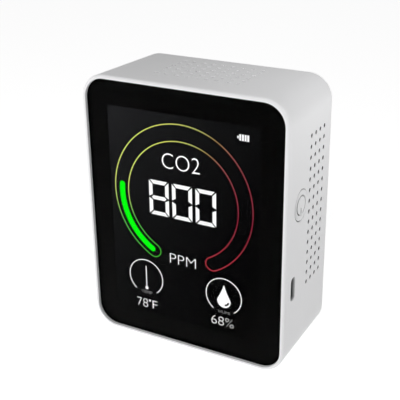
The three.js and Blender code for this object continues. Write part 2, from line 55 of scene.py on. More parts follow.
# The case, from the frame
SHELL_LOW, SHELL_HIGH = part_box("front_shell")
LENS_LOW, LENS_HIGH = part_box("front_lens")
KEY_LOW, KEY_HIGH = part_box("power_button")
SOCKET_LOW, SOCKET_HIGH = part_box("usb_socket_shell")
FRONT_Y = SHELL_LOW[1]
DEPTH = (SHELL_HIGH[1] - SHELL_LOW[1]) / MM
WIDTH = 72
HEIGHT = 91.5
MID_Z = HEIGHT / 2
CORNER_R = 8.3
EDGE_R = 1
WALL = 2
SIDE_DRAFT = 0.6
TOP_DRAFT = 0.9
GAP = 0.3

# Front window, its pocket and the ledge behind it
WINDOW_FRONT = (LENS_LOW[1] - FRONT_Y) / MM
WINDOW_BACK = (LENS_HIGH[1] - FRONT_Y) / MM
POCKET_INSET = 1.25
LEDGE_FRONT = WINDOW_BACK + 0.5
LEDGE_BACK = LEDGE_FRONT + 1.5
PANE_WIDTH = WIDTH - 2 * POCKET_INSET - 0.2
PANE_HEIGHT = HEIGHT - 2 * POCKET_INSET - 0.2
PANE_R = CORNER_R - POCKET_INSET - 0.1
OPENING_WIDTH = 64.5
OPENING_HEIGHT = 77.5

# Vents
VENT_PITCH = 3.58
VENT_R = 0.7
VENT_MOUTH = 0.1
SIDE_VENTS = {"columns": 4, "rows": 15, "depth": 23.5, "z": MID_Z + 5.1}
TOP_VENTS = {"columns": 9, "rows": 6, "depth": 19.9}

# Power key and charging socket
KEY_DEPTH = ((KEY_LOW[1] + KEY_HIGH[1]) / 2 - FRONT_Y) / MM
KEY_Z = (KEY_LOW[2] + KEY_HIGH[2]) / 2 / MM
KEY_R = 5
KEY_FLANGE = {"radius": 5.9, "front": 33.4, "back": 32.3}
KEY_STEM = {"radius": 1.5, "tip": 31.9}
SOCKET_DEPTH = ((SOCKET_LOW[1] + SOCKET_HIGH[1]) / 2 - FRONT_Y) / MM
SOCKET_Z = (SOCKET_LOW[2] + SOCKET_HIGH[2]) / 2 / MM

# Cover bosses and board posts, with the pilot holes for their screws
BOSSES = [(-29.2, 6.8), (29.2, 6.8), (-29.2, 83.6), (29.2, 83.6)]
BOSS = {"radius": 3.4, "start": 6, "web": 5.1, "pilot": 1.3, "pilot_start": 22}
POSTS = [(-18, 4.5), (18, 4.5), (-18, 86.9), (18, 86.9)]
POST = {"radius": 2.3, "end": 8, "pilot": 0.9, "pilot_start": 4.3}
COVER_FRONT = DEPTH - 2.4
BATTERY = {"width": 34, "height": 50, "z": 34}

# The lit picture lies just behind the window. It sits a little left and low, as the panel
# does in its tray.
PICTURE_DEPTH = WINDOW_BACK + 0.06
PICTURE_THICKNESS = 0.06
PICTURE_X = -0.75
PICTURE_Z = MID_Z - 0.67
LIT_WIDTH = 54.1
LIT_HEIGHT = 72.7
GAUGE_X = -0.3
GAUGE_Z = 7.9
GAUGE_MID_R = 22.45
GAUGE_HALF = 2.4
GAUGE_START = 241.2
GAUGE_SWEEP = 302.4
GAUGE_LEAD = 20  # degrees of green before the start, for its round end


# Selecting and shaping


def only(obj):
    """Leaves this object selected, alone and active."""
    bpy.ops.object.select_all(action="DESELECT")
    obj.select_set(True)
    bpy.context.view_layer.objects.active = obj


def place(x, depth, z):
    return Vector((x * MM, FRONT_Y + depth * MM, z * MM))


def draft_at(depth):
    """How much narrower and lower the case is at a depth, as factors of x and z."""
    back = depth / DEPTH
    return 1 - back * SIDE_DRAFT / (WIDTH / 2), 1 - back * TOP_DRAFT / HEIGHT


def named(name):
    """The new object under its name, with its place and size in its mesh."""
    obj = bpy.context.object
    obj.name = name
    obj.data.name = name
    bpy.ops.object.transform_apply(location=True, rotation=True, scale=True)
    return obj


def box(name, x, depth, z):
    """A block between pairs of x, depth and z."""
    bpy.ops.object.select_all(action="DESELECT")
    middle = place(sum(x) / 2, sum(depth) / 2, sum(z) / 2)
    size = [(pair[1] - pair[0]) * MM for pair in (x, depth, z)]
    bpy.ops.mesh.primitive_cube_add(size=1, location=middle, scale=size)
    return named(name)


def rod(name, radius, axis, start, end, sides=32):
    """A round bar along an axis ("X", "Y" or "Z") between two places."""
    bpy.ops.object.select_all(action="DESELECT")
    turn = {"X": (0, math.pi / 2, 0), "Y": (math.pi / 2, 0, 0), "Z": (0, 0, 0)}[axis]
    bpy.ops.mesh.primitive_cylinder_add(
        vertices=sides,
        radius=radius * MM,
        depth=(end - start).length,
        location=(start + end) / 2,
        rotation=turn,
    )
    return named(name)


def editing(obj, domain="FACE"):
    only(obj)
    bpy.ops.object.mode_set(mode="EDIT")
    bpy.ops.mesh.select_mode(type=domain)
    bpy.ops.mesh.select_all(action="DESELECT")


def done():
    bpy.ops.object.mode_set(mode="OBJECT")


def pick(obj, domain, test):
    """In edit mode, selects the "verts", "edges" or "faces" that pass a test."""
    mesh = bmesh.from_edit_mesh(obj.data)
    for item in getattr(mesh, domain):
        item.select_set(bool(test(item)))
    mesh.select_flush_mode()
    bmesh.update_edit_mesh(obj.data)


def along(item, axis):
    """Whether an edge runs along an axis (0, 1 or 2)."""
    run = item.verts[1].co - item.verts[0].co
    return abs(run[axis]) > 0.99 * run.length


def modify(obj, kind, **settings):
    only(obj)
    modifier = obj.modifiers.new(kind.title(), kind)
    for name, value in settings.items():
        setattr(modifier, name, value)
    bpy.ops.object.modifier_apply(modifier=modifier.name)


def combine(obj, tool, operation):
    """Cuts a tool out of a piece, or joins it on, and throws the tool away."""
    modify(obj, "BOOLEAN", object=tool, operation=operation, solver="MANIFOLD")
    bpy.data.objects.remove(tool)


def cut(obj, *tools):
    for tool in tools:
        combine(obj, tool, "DIFFERENCE")


def merged(pieces, name):
    """Separate bodies as one object."""
    only(pieces[0])
    for piece in pieces:
        piece.select_set(True)
    bpy.ops.object.join()
    return named(name)


def rounded(obj, radius, axis=1, steps=8):
    """Rounds the edges that run along an axis."""
    editing(obj, "EDGE")
    pick(obj, "edges", lambda e: along(e, axis))
    bpy.ops.mesh.bevel(offset=radius * MM, segments=steps, affect="EDGES")
    done()
    return obj


def softened(obj, radius, steps=3, angle=40):
    """A small round on every sharp edge."""
    modify(
        obj,
        "BEVEL",
        width=radius * MM,
        segments=steps,
        limit_method="ANGLE",
        angle_limit=math.radians(angle),
        harden_normals=False,
    )
    return obj


def smooth(obj, angle=35):
    """Smooth shading over rounds, with the flats kept flat."""
    only(obj)
    bpy.ops.object.shade_smooth_by_angle(angle=math.radians(angle))
    modify(obj, "WEIGHTED_NORMAL", keep_sharp=True, weight=100)
    return obj


def tapered(obj):
    """The mould's draft on a piece's front and back ends."""
    ends = [min(v.co.y for v in obj.data.vertices), max(v.co.y for v in obj.data.vertices)]
    for end in ends:
        narrow, low = draft_at((end - FRONT_Y) / MM)
        editing(obj, "VERT")
        pick(obj, "verts", lambda v: abs(v.co.y - end) < 0.01 * MM)
        bpy.ops.transform.resize(value=(narrow, 1, low), center_override=(0, end, 0))
        done()
    return obj


def plate(name, width, height, radius, depth, steps=8, x=0, z=MID_Z):
    """An upright slab with round corners, between two depths."""
    across = (x - width / 2, x + width / 2)
    return rounded(box(name, across, depth, (z - height / 2, z + height / 2)), radius, 1, steps)


# Colours and materials


def linear(code):
    """An sRGB hex colour as the linear colour that shaders take."""
    parts = [int(code[i : i + 2], 16) / 255 for i in (1, 3, 5)]
    turned = [c / 12.92 if c <= 0.04045 else ((c + 0.055) / 1.055) ** 2.4 for c in parts]
    return (*turned, 1)


def socket(sockets, name):
    """The socket in use under a name: some nodes keep hidden ones under the same name."""
    return next(s for s in sockets if s.name == name and s.enabled)


def feed(node, inputs):
    """Sets a node's inputs, to values or by links: by name, or in order from a tuple."""
    if isinstance(inputs, tuple):
        inputs = dict(enumerate(inputs))
    for name, value in inputs.items():
        target = node.inputs[name] if isinstance(name, int) else socket(node.inputs, name)
        if isinstance(value, bpy.types.NodeSocket):
            node.id_data.links.new(value, target)
        else:
            target.default_value = value


def add(material, kind, inputs=(), **settings):
    """Adds a shader node with its settings, its values and its links."""
    node = material.node_tree.nodes.new("ShaderNode" + kind)
    for name, value in settings.items():
        setattr(node, name, value)
    feed(node, inputs)
    return node


def material_of(name):
    """A new material, its surface shader and its Object coordinates."""
    material = bpy.data.materials.new(name)
    material.use_nodes = True
    surface = material.node_tree.nodes["Principled BSDF"]
    where = add(material, "TexCoord").outputs["Object"]
    return material, surface, where


def per_metre(size):
    """The pattern scale whose features are this many millimetres across."""
    return 1 / (size * MM)


def finished(material, surface, tone, colours, grain=None, rough=None, relief=None):
    """A colour that drifts between two by one pattern, and a roughness and a relief (its
    strength, and its depth in metres) by another."""
    blend = {"Factor": tone, "A": linear(colours[0]), "B": linear(colours[1])}
    colour = add(material, "Mix", blend, data_type="RGBA")
    made = {"Base Color": socket(colour.outputs, "Result")}
    if rough:
        polish = {"Value": grain, "To Min": rough[0], "To Max": rough[1]}
        made["Roughness"] = add(material, "MapRange", polish).outputs["Result"]
    if relief:
        bump = {"Height": grain, "Strength": relief[0], "Distance": relief[1]}
        made["Normal"] = add(material, "Bump", bump).outputs["Normal"]
    feed(surface, made)


def textured(name, low, high, size, rough, bump, **values):
    """A surface whose colour and roughness drift between two values, over a fine bump."""
    material, surface, where = material_of(name)
    broad = {"Vector": where, "Scale": per_metre(size * 40), "Detail": 3}
    drift = add(material, "TexNoise", broad).outputs["Fac"]
    fine = {"Vector": where, "Scale": per_metre(size), "Detail": 4}
    grain = add(material, "TexNoise", fine).outputs["Fac"]
    finished(material, surface, drift, (low, high), grain, rough, (bump, size * MM * 0.2))
    feed(surface, values)
    return material


def abs_white():
    """White ABS from a lightly spark-eroded mould: an even satin with the faintest grain. The
    grain is drawn at 0.35 mm, coarser than the real one, so that it shows. Within the side
    walls' thickness, in the vents and round the key and the socket, painted shade darkens
    the colour with the depth below the wall's face."""
    material = textured("abs_white", "#ececed", "#e9e9ea", 0.35, (0.42, 0.52), 0.12, IOR=1.53)
    surface = material.node_tree.nodes["Principled BSDF"]
    split = add(material, "SeparateXYZ", {"Vector": add(material, "TexCoord").outputs["Object"]})
    x, y, z = (split.outputs[axis] for axis in "XYZ")
    behind = add(material, "Math", (y, 1 / MM, -FRONT_Y / MM), operation="MULTIPLY_ADD").outputs[0]
    lean = -SIDE_DRAFT / DEPTH
    face = add(material, "Math", (behind, lean, WIDTH / 2), operation="MULTIPLY_ADD").outputs[0]
    across = add(material, "Math", (x,), operation="ABSOLUTE").outputs[0]
    below = add(material, "Math", (across, -1 / MM, face), operation="MULTIPLY_ADD").outputs[0]
    # The painted shade in the socket's opening deepens more slowly, so that its nearer wall shows
    near_front = add(material, "Math", (behind, 9), operation="LESS_THAN").outputs[0]
    beside_socket = (z, SOCKET_Z * MM, 4.5 * MM)
    socket_high = add(material, "Math", beside_socket, operation="COMPARE").outputs[0]
    at_socket = add(material, "Math", (near_front, socket_high), operation="MULTIPLY").outputs[0]
    reach = add(material, "Math", (at_socket, 1.0, 0.4), operation="MULTIPLY_ADD").outputs[0]
    sunk = add(
        material,
        "MapRange",
        {"Value": below, "From Min": 0.02, "From Max": reach},
        interpolation_type="SMOOTHSTEP",
    ).outputs["Result"]
    # No painted shade on the inside of the wall, nor on the rounds at the wall's own edges
    inner = add(
        material,
        "MapRange",
        {"Value": below, "From Min": WALL - 0.1, "From Max": WALL - 0.5},
    ).outputs["Result"]
    wall_high, wall_deep = (z, MID_Z * MM, 34 * MM), (behind, 18.5, 13.7)
    high = add(material, "Math", wall_high, operation="COMPARE").outputs[0]
    deep = add(material, "Math", wall_deep, operation="COMPARE").outputs[0]
    flat = add(material, "Math", (high, deep), operation="MULTIPLY").outputs[0]
    within = add(material, "Math", (sunk, inner), operation="MULTIPLY").outputs[0]
    shade_in_openings = add(material, "Math", (within, flat), operation="MULTIPLY").outputs[0]
    # Painted shade: the colour goes towards dark grey in the openings, deeper below the wall's face
    painted_shade = add(
        material,
        "Mix",
        {
            "Factor": shade_in_openings,
            "A": surface.inputs["Base Color"].links[0].from_socket,
            "B": linear("#242425"),
        },
        data_type="RGBA",
    )
    feed(surface, {"Base Color": socket(painted_shade.outputs, "Result")})
    return material


def window_acrylic():
    """Clear acrylic with an anti-reflection coat, so that the black behind it stays black. The
    coat is made by a low index and a dark mirror tint."""
    material, surface, where = material_of("window_acrylic")
    haze = add(material, "TexNoise", {"Vector": where, "Scale": per_metre(9), "Detail": 2})
    polish = {"Value": haze.outputs["Fac"], "To Min": 0.0, "To Max": 0.006}
    values = {
        "Roughness": add(material, "MapRange", polish).outputs["Result"],
        "Base Color": linear("#ffffff"),
        "Transmission Weight": 1,
        "IOR": 1.12,
        "Specular Tint": (0.04, 0.04, 0.04, 1),
        "Specular IOR Level": 0.02,
    }
    feed(surface, values)
    return material


def screen_ink():
    """Two coats of black screen-printing ink on the back of the window: flat and even."""
    return textured(
        "screen_ink", "#060606", "#080808", 0.2, (0.55, 0.7), 0.0, **{"Specular IOR Level": 0.0}
    )


def coordinates(material, where):
    """A place on the display's face: millimetres right of and above the lit area's middle."""
    split = add(material, "SeparateXYZ", {"Vector": where})
    x, z = (split.outputs["X"], 1 / MM, -PICTURE_X), (split.outputs["Z"], 1 / MM, -PICTURE_Z)
    return [add(material, "Math", terms, operation="MULTIPLY_ADD").outputs[0] for terms in (x, z)]


def display_black():
    """A dark liquid-crystal panel with a painted sheen: a faint glow over the lit area,
    brightest at the top left and fading towards the bottom right.
    """
    material, surface, where = material_of("display_black")
    right, above = coordinates(material, where)
    in_width = add(material, "Math", (right, 0.0, LIT_WIDTH / 2), operation="COMPARE").outputs[0]
    in_height = add(material, "Math", (above, 0.0, LIT_HEIGHT / 2), operation="COMPARE").outputs[0]
    inside = add(material, "Math", (in_width, in_height), operation="MULTIPLY").outputs[0]
    # Painted sheen: strongest at the top left corner, fading out towards the bottom right
    reach = (LIT_WIDTH + LIT_HEIGHT) / 2
    slope = add(material, "Math", (above, right), operation="SUBTRACT").outputs[0]
    fade = add(
        material, "MapRange", {"Value": slope, "From Min": -reach, "From Max": reach}
    ).outputs["Result"]
    sheen_falloff = add(material, "Math", (fade, 2.8), operation="POWER").outputs[0]
    patchy = add(material, "TexNoise", {"Vector": where, "Scale": per_metre(14), "Detail": 2})
    spread = {"Value": patchy.outputs["Fac"], "To Min": 0.85, "To Max": 1.15}
    uneven = add(material, "MapRange", spread)
    level = add(material, "Math", (sheen_falloff, uneven.outputs["Result"]), operation="MULTIPLY").outputs[0]
    painted_sheen = add(material, "Math", (level, inside), operation="MULTIPLY").outputs[0]
    strength = add(material, "Math", (painted_sheen, 0.015), operation="MULTIPLY").outputs[0]
    glowing(surface, linear("#f4f6ff"), strength)
    feed(surface, {"Roughness": 0.4})
    return material


def glowing(surface, colour, strength):
    """A black surface that gives off light of its own."""
    values = {"Emission Color": colour, "Emission Strength": strength}
    feed(surface, {**values, "Base Color": linear("#020202"), "Specular IOR Level": 0})


def lit(name, code, strength):
    """Pixels lit in one colour, a touch uneven as the backlight behind them is."""
    material, surface, where = material_of(name)
    patchy = add(material, "TexNoise", {"Vector": where, "Scale": per_metre(6), "Detail": 1})
    uneven = {"To Min": strength * 0.97, "To Max": strength * 1.03}
    level = add(material, "MapRange", {"Value": patchy.outputs["Fac"], **uneven})
    glowing(surface, linear(code), level.outputs["Result"])
    return material


GAUGE_COLOURS = [
    (0.00, "#47ba38"),
    (0.12, "#61c154"),
    (0.20, "#c3d86a"),
    (0.24, "#e4ec77"),
    (0.34, "#dcec72"),
    (0.44, "#dfe168"),
    (0.54, "#bfc267"),
    (0.59, "#987e49"),
    (0.65, "#a04f50"),
    (0.73, "#983844"),
    (0.82, "#8a2337"),
    (1.00, "#ba3844"),
]


def lit_gauge():
    """The scale's outline: green for clean air, through yellow and orange, to red."""
    material, surface, where = material_of("lit_gauge")
    right, above = coordinates(material, where)
    across = add(material, "Math", (right, GAUGE_X), operation="SUBTRACT").outputs[0]
    up = add(material, "Math", (above, GAUGE_Z), operation="SUBTRACT").outputs[0]
    # Turned so that the angle runs clockwise from 0, just before the scale's start
    turn = math.radians(GAUGE_START + GAUGE_LEAD)
    cosine, sine = math.cos(turn), math.sin(turn)
    forward_a = add(material, "Math", (across, cosine), operation="MULTIPLY").outputs[0]
    forward = add(material, "Math", (up, sine, forward_a), operation="MULTIPLY_ADD").outputs[0]
    sideways_a = add(material, "Math", (up, -cosine), operation="MULTIPLY").outputs[0]
    turned = (across, sine, sideways_a)
    sideways = add(material, "Math", turned, operation="MULTIPLY_ADD").outputs[0]
    angle = add(material, "Math", (sideways, forward), operation="ARCTAN2").outputs[0]
    share = add(
        material,
        "MapRange",
        {
            "Value": add(material, "Math", (angle, 2 * math.pi, 0.0), operation="WRAP").outputs[0],
            "From Min": math.radians(GAUGE_LEAD),
            "From Max": math.radians(GAUGE_LEAD + GAUGE_SWEEP),
        },
    ).outputs["Result"]
    ramp = add(material, "ValToRGB", {"Fac": share})
    stops = ramp.color_ramp.elements
    while len(stops) < len(GAUGE_COLOURS):
        stops.new(1)
    for stop, (at, code) in zip(stops, GAUGE_COLOURS):
        stop.position = at
        stop.color = linear(code)
    glowing(surface, ramp.outputs["Color"], 1.2)
    return material


def metal(name, low, high, grain, rough, run=(1, 1, 12)):
    """A metal whose fine lines run along one axis: rolled sheet, turned or plated."""
    material, surface, where = material_of(name)
    drawn = add(material, "Mapping", {"Vector": where, "Scale": tuple(1 / r for r in run)})
    pattern = {"Vector": drawn.outputs["Vector"], "Scale": per_metre(grain), "Detail": 5}
    lines = add(material, "TexNoise", pattern).outputs["Fac"]
    finished(material, surface, lines, (low, high), lines, rough, (0.15, grain * MM * 0.2))
    feed(surface, {"Metallic": 1})
    return material


def solder_mask(name, mask, track):
    """Gloss solder mask over copper tracks, which show through it as a lighter shade."""
    material, surface, where = material_of(name)
    flat = add(material, "Mapping", {"Vector": where, "Rotation": (math.pi / 2, 0, 0)})
    pattern = {
        "Vector": flat.outputs["Vector"],
        "Color1": (1, 1, 1, 1),
        "Color2": (0.6, 0.6, 0.6, 1),
        "Mortar": (0, 0, 0, 1),
        "Scale": per_metre(1),
        "Mortar Size": 0.18,
        "Brick Width": 5.5,
        "Row Height": 0.9,
    }
    routes = add(material, "TexBrick", pattern).outputs["Color"]
    finished(material, surface, routes, (mask, track), routes, None, (0.4, 0.03 * MM))
    feed(surface, {"Roughness": 0.28, "Coat Weight": 0.4})
    return material


def polyimide():
    """Amber film over copper tracks at half a millimetre, for the display's cable."""
    material, surface, where = material_of("polyimide_film")
    bands = {"Vector": where, "Scale": per_metre(0.5) / 20, "Distortion": 0.0}
    tracks = add(material, "TexWave", bands, bands_direction="X").outputs["Fac"]
    finished(material, surface, tracks, ("#8a4a12", "#c9822e"))
    feed(surface, {"Roughness": 0.35})
    return material


def pouch_foil():
    """Heat-sealed aluminium laminate of the battery: dull silver, softly creased."""
    material, surface, where = material_of("pouch_foil")
    pattern = {"Vector": where, "Scale": per_metre(5), "Detail": 4}
    creases = add(material, "TexNoise", pattern).outputs["Fac"]
    finished(material, surface, creases, ("#a9adb2", "#cfd2d6"), creases, None, (0.5, 0.3 * MM))
    feed(surface, {"Metallic": 1, "Roughness": 0.4})
    return material


# The case


def flared(tool, axis, sign, surface, mouth):
    """Widens a hole's cutter where it meets the surface, for a small chamfer, and takes it
    out past the surface. surface, a coordinate along the axis in metres, is not used."""
    side = "XYZ"[axis]
    editing(tool)
    pick(tool, "faces", lambda f: f.normal[axis] * sign > 0.99)
    mesh = bmesh.from_edit_mesh(tool.data)
    rim = [v.co for v in mesh.verts if v.select]
    middle = sum(rim, Vector()) / len(rim)
    grow = [
        1 + 2 * mouth * MM / max(max(c[i] for c in rim) - min(c[i] for c in rim), mouth * MM)
        for i in range(3)
    ]
    grow[axis] = 1
    for step, factors in ((mouth, grow), (1, (1, 1, 1))):
        shift = [0, 0, 0]
        shift[axis] = sign * step * MM
        bpy.ops.mesh.extrude_region_move(TRANSFORM_OT_translate={"value": shift})
        bpy.ops.transform.resize(value=factors, center_override=middle)
    done()
    return tool


def side_x(depth):
    """Where the side wall's face is at a depth."""
    return WIDTH / 2 - SIDE_DRAFT * depth / DEPTH


def top_z(depth):
    return HEIGHT - TOP_DRAFT * depth / DEPTH


def repeated(tool, count, offset):
    modify(
        tool,
        "ARRAY",
        count=count,
        use_relative_offset=False,
        use_constant_offset=True,
        constant_offset_displace=[c * MM for c in offset],
    )
    return tool


def side_vents(side):
    """The grid of holes in one side wall: side is 1 for the right, -1 for the left."""
    grid = SIDE_VENTS
    depth = grid["depth"] - (grid["columns"] - 1) / 2 * VENT_PITCH
    z = grid["z"] - (grid["rows"] - 1) / 2 * VENT_PITCH
    surface = side * side_x(depth)
    inner = place(surface - side * 2 * WALL, depth, z)
    mouth = place(surface - side * VENT_MOUTH, depth, z)
    hole = rod("side_vents", VENT_R, "X", min(inner, mouth, key=lambda p: p.x),
               max(inner, mouth, key=lambda p: p.x), 16)
    flared(hole, 0, side, surface * MM, VENT_MOUTH)
    lean = -side * SIDE_DRAFT * VENT_PITCH / DEPTH
    repeated(hole, grid["columns"], (lean, VENT_PITCH, 0))
    return repeated(hole, grid["rows"], (0, 0, VENT_PITCH))


def top_vents():
    grid = TOP_VENTS
    depth = grid["depth"] - (grid["rows"] - 1) / 2 * VENT_PITCH
    x = -(grid["columns"] - 1) / 2 * VENT_PITCH
    surface = top_z(depth)
    hole = rod("top_vents", VENT_R, "Z", place(x, depth, surface - 2 * WALL),
               place(x, depth, surface - VENT_MOUTH), 16)
    flared(hole, 2, 1, surface * MM, VENT_MOUTH)
    lean = -TOP_DRAFT * VENT_PITCH / DEPTH
    repeated(hole, grid["rows"], (0, VENT_PITCH, lean))
    return repeated(hole, grid["columns"], (VENT_PITCH, 0, 0))


def key_hole():
    surface, gap, mouth = side_x(KEY_DEPTH), 0.15, 0.2
    hole = rod("key_hole", KEY_R + gap, "X", key_at(surface - 2 * WALL), key_at(surface - mouth),
               64)
    return flared(hole, 0, 1, surface * MM, mouth)


def socket_hole():
    surface, across, along_z, mouth = side_x(SOCKET_DEPTH), 3.4, 8, 0.15
    x = (surface - 2 * WALL, surface - mouth)
    depth = (SOCKET_DEPTH - across / 2, SOCKET_DEPTH + across / 2)
    z = (SOCKET_Z - along_z / 2, SOCKET_Z + along_z / 2)
    hole = rounded(box("socket_hole", x, depth, z), 1.3, 0, 6)
    return flared(hole, 0, 1, surface * MM, mouth)


def case_shell():
    """The rim and four walls: a block rounded and drafted, pocketed for the window from the
    front and hollowed from the back, with bosses for the cover and posts for the board."""
    shell = box("case_shell", (-WIDTH / 2, WIDTH / 2), (0, DEPTH), (0, HEIGHT))
    rounded(shell, CORNER_R, 1, 14)
    tapered(shell)
    editing(shell, "EDGE")
    pick(shell, "edges", lambda e: abs(e.verts[0].co.y - e.verts[1].co.y) < 0.001 * MM)
    bpy.ops.mesh.bevel(offset=EDGE_R * MM, segments=6, affect="EDGES")
    done()
    editing(shell)
    pick(shell, "faces", lambda f: f.normal.y < -0.999)
    lip = 0.08
    bpy.ops.mesh.inset(thickness=(POCKET_INSET - EDGE_R - lip) * MM)
    bpy.ops.mesh.inset(thickness=lip * MM, depth=-lip * MM)
    bpy.ops.mesh.extrude_region_move(
        TRANSFORM_OT_translate={"value": (0, (LEDGE_FRONT - lip) * MM, 0)}
    )
    done()
    inner = (WIDTH - 2 * WALL, HEIGHT - 2 * WALL)
    cavity = tapered(plate("cavity", *inner, CORNER_R - WALL, (LEDGE_BACK, DEPTH + 1), 10))
    opening = plate("opening", OPENING_WIDTH, OPENING_HEIGHT, 1, (1, LEDGE_BACK + 1), 4)
    cut(shell, cavity, opening)
    seat = COVER_FRONT - 0.1
    for x, z in BOSSES:
        ends = (place(x, BOSS["start"], z), place(x, seat, z))
        combine(shell, rod("boss", BOSS["radius"], "Y", *ends), "UNION")
        web = sorted((x, x + math.copysign(BOSS["web"], x)))
        rib = box("boss_rib", web, (BOSS["start"], seat), (z - WALL / 2, z + WALL / 2))
        combine(shell, rib, "UNION")
        ends = (place(x, BOSS["pilot_start"], z), place(x, DEPTH, z))
        cut(shell, rod("pilot", BOSS["pilot"], "Y", *ends, 16))
    for x, z in POSTS:
        ends = (place(x, LEDGE_BACK - 1, z), place(x, POST["end"], z))
        combine(shell, rod("post", POST["radius"], "Y", *ends, 24), "UNION")
        ends = (place(x, POST["pilot_start"], z), place(x, POST["end"] + 1, z))
        cut(shell, rod("pilot", POST["pilot"], "Y", *ends, 16))
    cut(shell, key_hole(), socket_hole(), side_vents(1), side_vents(-1), top_vents())
    return smooth(shell)


def rear_panel():
    """The cover: a plate let into the back, with sunk screw holes and a rib that keeps the
    battery in place."""
    trim = 2 * (WALL + GAP)
    outline = (WIDTH - trim, HEIGHT - trim, CORNER_R - WALL - GAP)
    panel = tapered(plate("rear_panel", *outline, (COVER_FRONT, DEPTH), 10))
    editing(panel, "EDGE")
    pick(
        panel,
        "edges",
        lambda e: min(e.verts[0].co.y, e.verts[1].co.y) > SHELL_HIGH[1] - 0.01 * MM,
    )
    bpy.ops.mesh.bevel(offset=0.35 * MM, segments=3, affect="EDGES")
    done()
    gap, wall, corner, tall = 0.6, 1.2, 1.8, 3
    inside = (BATTERY["width"] + 2 * gap, BATTERY["height"] + 2 * gap)
    rib = plate("rib", inside[0] + 2 * wall, inside[1] + 2 * wall, corner + wall,
                (COVER_FRONT - tall, COVER_FRONT + 0.5), 5, 0, BATTERY["z"])
    bay = (COVER_FRONT - tall - 1, COVER_FRONT + 1)
    cut(rib, plate("bay", *inside, corner, bay, 5, 0, BATTERY["z"]))
    combine(panel, rib, "UNION")
    for x, z in BOSSES:
        sunk = rod("sunk", 2.8, "Y", place(x, DEPTH - 1.3, z), place(x, DEPTH - 0.2, z), 32)
        cut(panel, flared(sunk, 1, 1, SHELL_HIGH[1], 0.2))
        cut(panel, rod("hole", 1.4, "Y", place(x, COVER_FRONT - 1, z), place(x, DEPTH, z), 20))
    return smooth(panel)


# The window, its printed border and the display


def window():
    pane = plate("window", PANE_WIDTH, PANE_HEIGHT, PANE_R, (WINDOW_FRONT, WINDOW_BACK), 14)
    return smooth(softened(pane, 0.06, 2))


def printed_border():
    """The ink on the window's back and round its edge, open where the display shows."""
    gap, ink = 0.01, 0.04
    outer = (PANE_WIDTH + 2 * ink, PANE_HEIGHT + 2 * ink, PANE_R + ink)
    border = plate("window_print", *outer, (WINDOW_FRONT + 0.06, WINDOW_BACK + ink), 14)
    inner = (PANE_WIDTH + 2 * gap, PANE_HEIGHT + 2 * gap, PANE_R + gap)
    bed = plate("bed", *inner, (WINDOW_FRONT - 1, WINDOW_BACK + gap), 14)
    size = (LIT_WIDTH + 0.2, LIT_HEIGHT + 0.2)
    hole = (WINDOW_BACK - 1, WINDOW_BACK + 1)
    cut(border, bed, plate("opening", *size, 0.4, hole, 4, PICTURE_X, PICTURE_Z))
    return smooth(border)


def display_panel():
    """Two glass sheets with the front polariser on them."""
    low, high = (Vector(corner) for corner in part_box("lcd_cell"))
    width, height = (high.x - low.x) / MM, (high.z - low.z) / MM
    front, back = (low.y - FRONT_Y) / MM, (high.y - FRONT_Y) / MM
    film = 0.15
    panel = plate("display_panel", width, height, 0.5, (front + film, back), 3)
    face = plate("face", width - 0.3, height - 0.3, 0.4, (front, front + 2 * film), 3)
    combine(panel, face, "UNION")
    return smooth(panel)


def picture_at(right, above):
    """A place on the lit picture, measured from the middle of the lit area."""
    depth = PICTURE_DEPTH + PICTURE_THICKNESS / 2
    return place(PICTURE_X + right, depth, PICTURE_Z + above)


def settled(obj, right, above, turn=0.0):
    """Moves a shape made round the world's origin to its place on the picture."""
    only(obj)
    obj.location = picture_at(right, above)
    obj.rotation_euler = (0, -math.radians(turn), 0)
    return named(obj.name)


def dot(name, radius, right, above, sides=24, thick=PICTURE_THICKNESS):
    """A lit disc."""
    middle, half = picture_at(right, above), Vector((0, thick / 2 * MM, 0))
    return rod(name, radius, "Y", middle - half, middle + half, sides)


def stroke(name, radius, width):
    """The start of a curved line: its section, open, where it crosses the X axis."""
    bpy.ops.object.select_all(action="DESELECT")
    bpy.ops.mesh.primitive_plane_add(size=1, location=(radius * MM, 0, 0))
    bpy.context.object.scale = (width * MM, PICTURE_THICKNESS * MM, 1)
    line = named(name)
    editing(line, "EDGE")
    bpy.ops.mesh.select_all(action="SELECT")
    return line


def swing(angle, radius=0.0, turned=0.0, step=3):
    """Carries the section on round a point at a radius, on a ray turned from the X axis."""
    pivot = Vector((math.cos(turned), 0, math.sin(turned))) * radius * MM
    bpy.ops.mesh.spin(
        steps=max(2, round(abs(math.degrees(angle)) / step)),
        angle=angle,
        center=pivot,
        axis=(0, 1, 0),
    )


def closed(line):
    """Merges a line's seams and turns its faces outwards."""
    bpy.ops.mesh.select_all(action="SELECT")
    bpy.ops.mesh.remove_doubles(threshold=0.002 * MM)
    bpy.ops.mesh.normals_make_consistent(inside=False)
    done()
    return line


def arc(name, right, above, radius, width, start, sweep):
    """A thin lit arc, anticlockwise from an angle in degrees."""
    line = stroke(name, radius, width)
    swing(math.radians(sweep))
    return settled(closed(line), right, above, start)


def outline(name, right, above, radius, half, width, start, sweep):
    """The outline of a round-ended band: out along its outer edge, round its end, back
    along its inner edge and round its start."""
    line = stroke(name, radius + half, width)
    bpy.ops.mesh.delete(type="ONLY_FACE")
    bpy.ops.mesh.select_all(action="SELECT")
    turn = math.radians(sweep)
    swing(turn)
    swing(math.pi, radius, turn, 12)
    swing(-turn)
    swing(math.pi, radius, 0.0, 12)
    return settled(closed(line), right, above, start)


